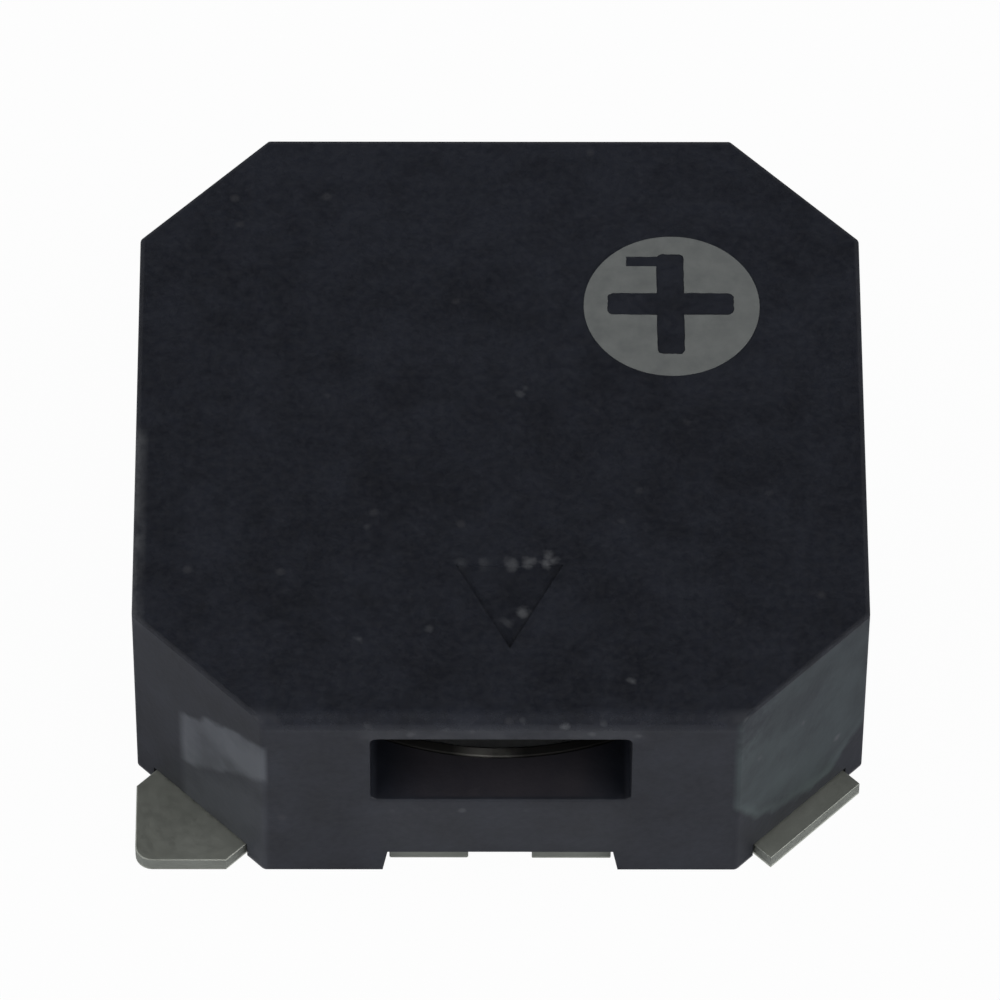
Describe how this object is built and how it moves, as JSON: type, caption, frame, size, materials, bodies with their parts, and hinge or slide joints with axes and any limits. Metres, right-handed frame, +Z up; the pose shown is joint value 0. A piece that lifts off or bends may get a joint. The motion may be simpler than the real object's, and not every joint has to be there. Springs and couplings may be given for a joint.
{
  "type": "surface-mount magnetic buzzer",
  "caption": "Flat octagonal surface-mount magnetic buzzer with a front sound slot, a plus mark on top, corner solder terminals, and coil, magnet and diaphragm inside.",
  "frame": {"origin": "middle of the seating plane, on the underside of the solder terminals", "axes": "+Z up, out of the top face; -Y out of the sound slot; +X and +Y towards the corner with the plus mark"},
  "size_m": [0.0086, 0.0086, 0.003],
  "materials": {
    "case_plastic": "fine spark-eroded mould texture, blue-black, satin on the corner cuts",
    "base_plastic": "fine moulded, black",
    "tinned_lead": "matt tin plate over stamped copper alloy",
    "yoke_steel": "nickel-plated",
    "core_iron": "nickel-plated, turned",
    "coil_copper": "enamelled copper wire",
    "magnet_ferrite": "sintered, dark grey",
    "ring_brass": "nickel-plated brass",
    "diaphragm_steel": "rolled thin sheet",
    "armature_steel": "stamped, nickel-plated",
    "solder": "bright tin solder"
  },
  "bodies": {
    "root": {"case": "case_plastic", "base": "base_plastic", "terminal_plus": "tinned_lead", "terminal_minus": "tinned_lead", "dummy_terminal_front": "tinned_lead", "dummy_terminal_back": "tinned_lead", "yoke_plate": "yoke_steel", "pole_core": "core_iron", "coil": "coil_copper", "ring_magnet": "magnet_ferrite", "support_ring": "ring_brass", "diaphragm": "diaphragm_steel", "armature_disc": "armature_steel", "solder_plus": "solder", "solder_minus": "solder"}
  },
  "joints": []
}
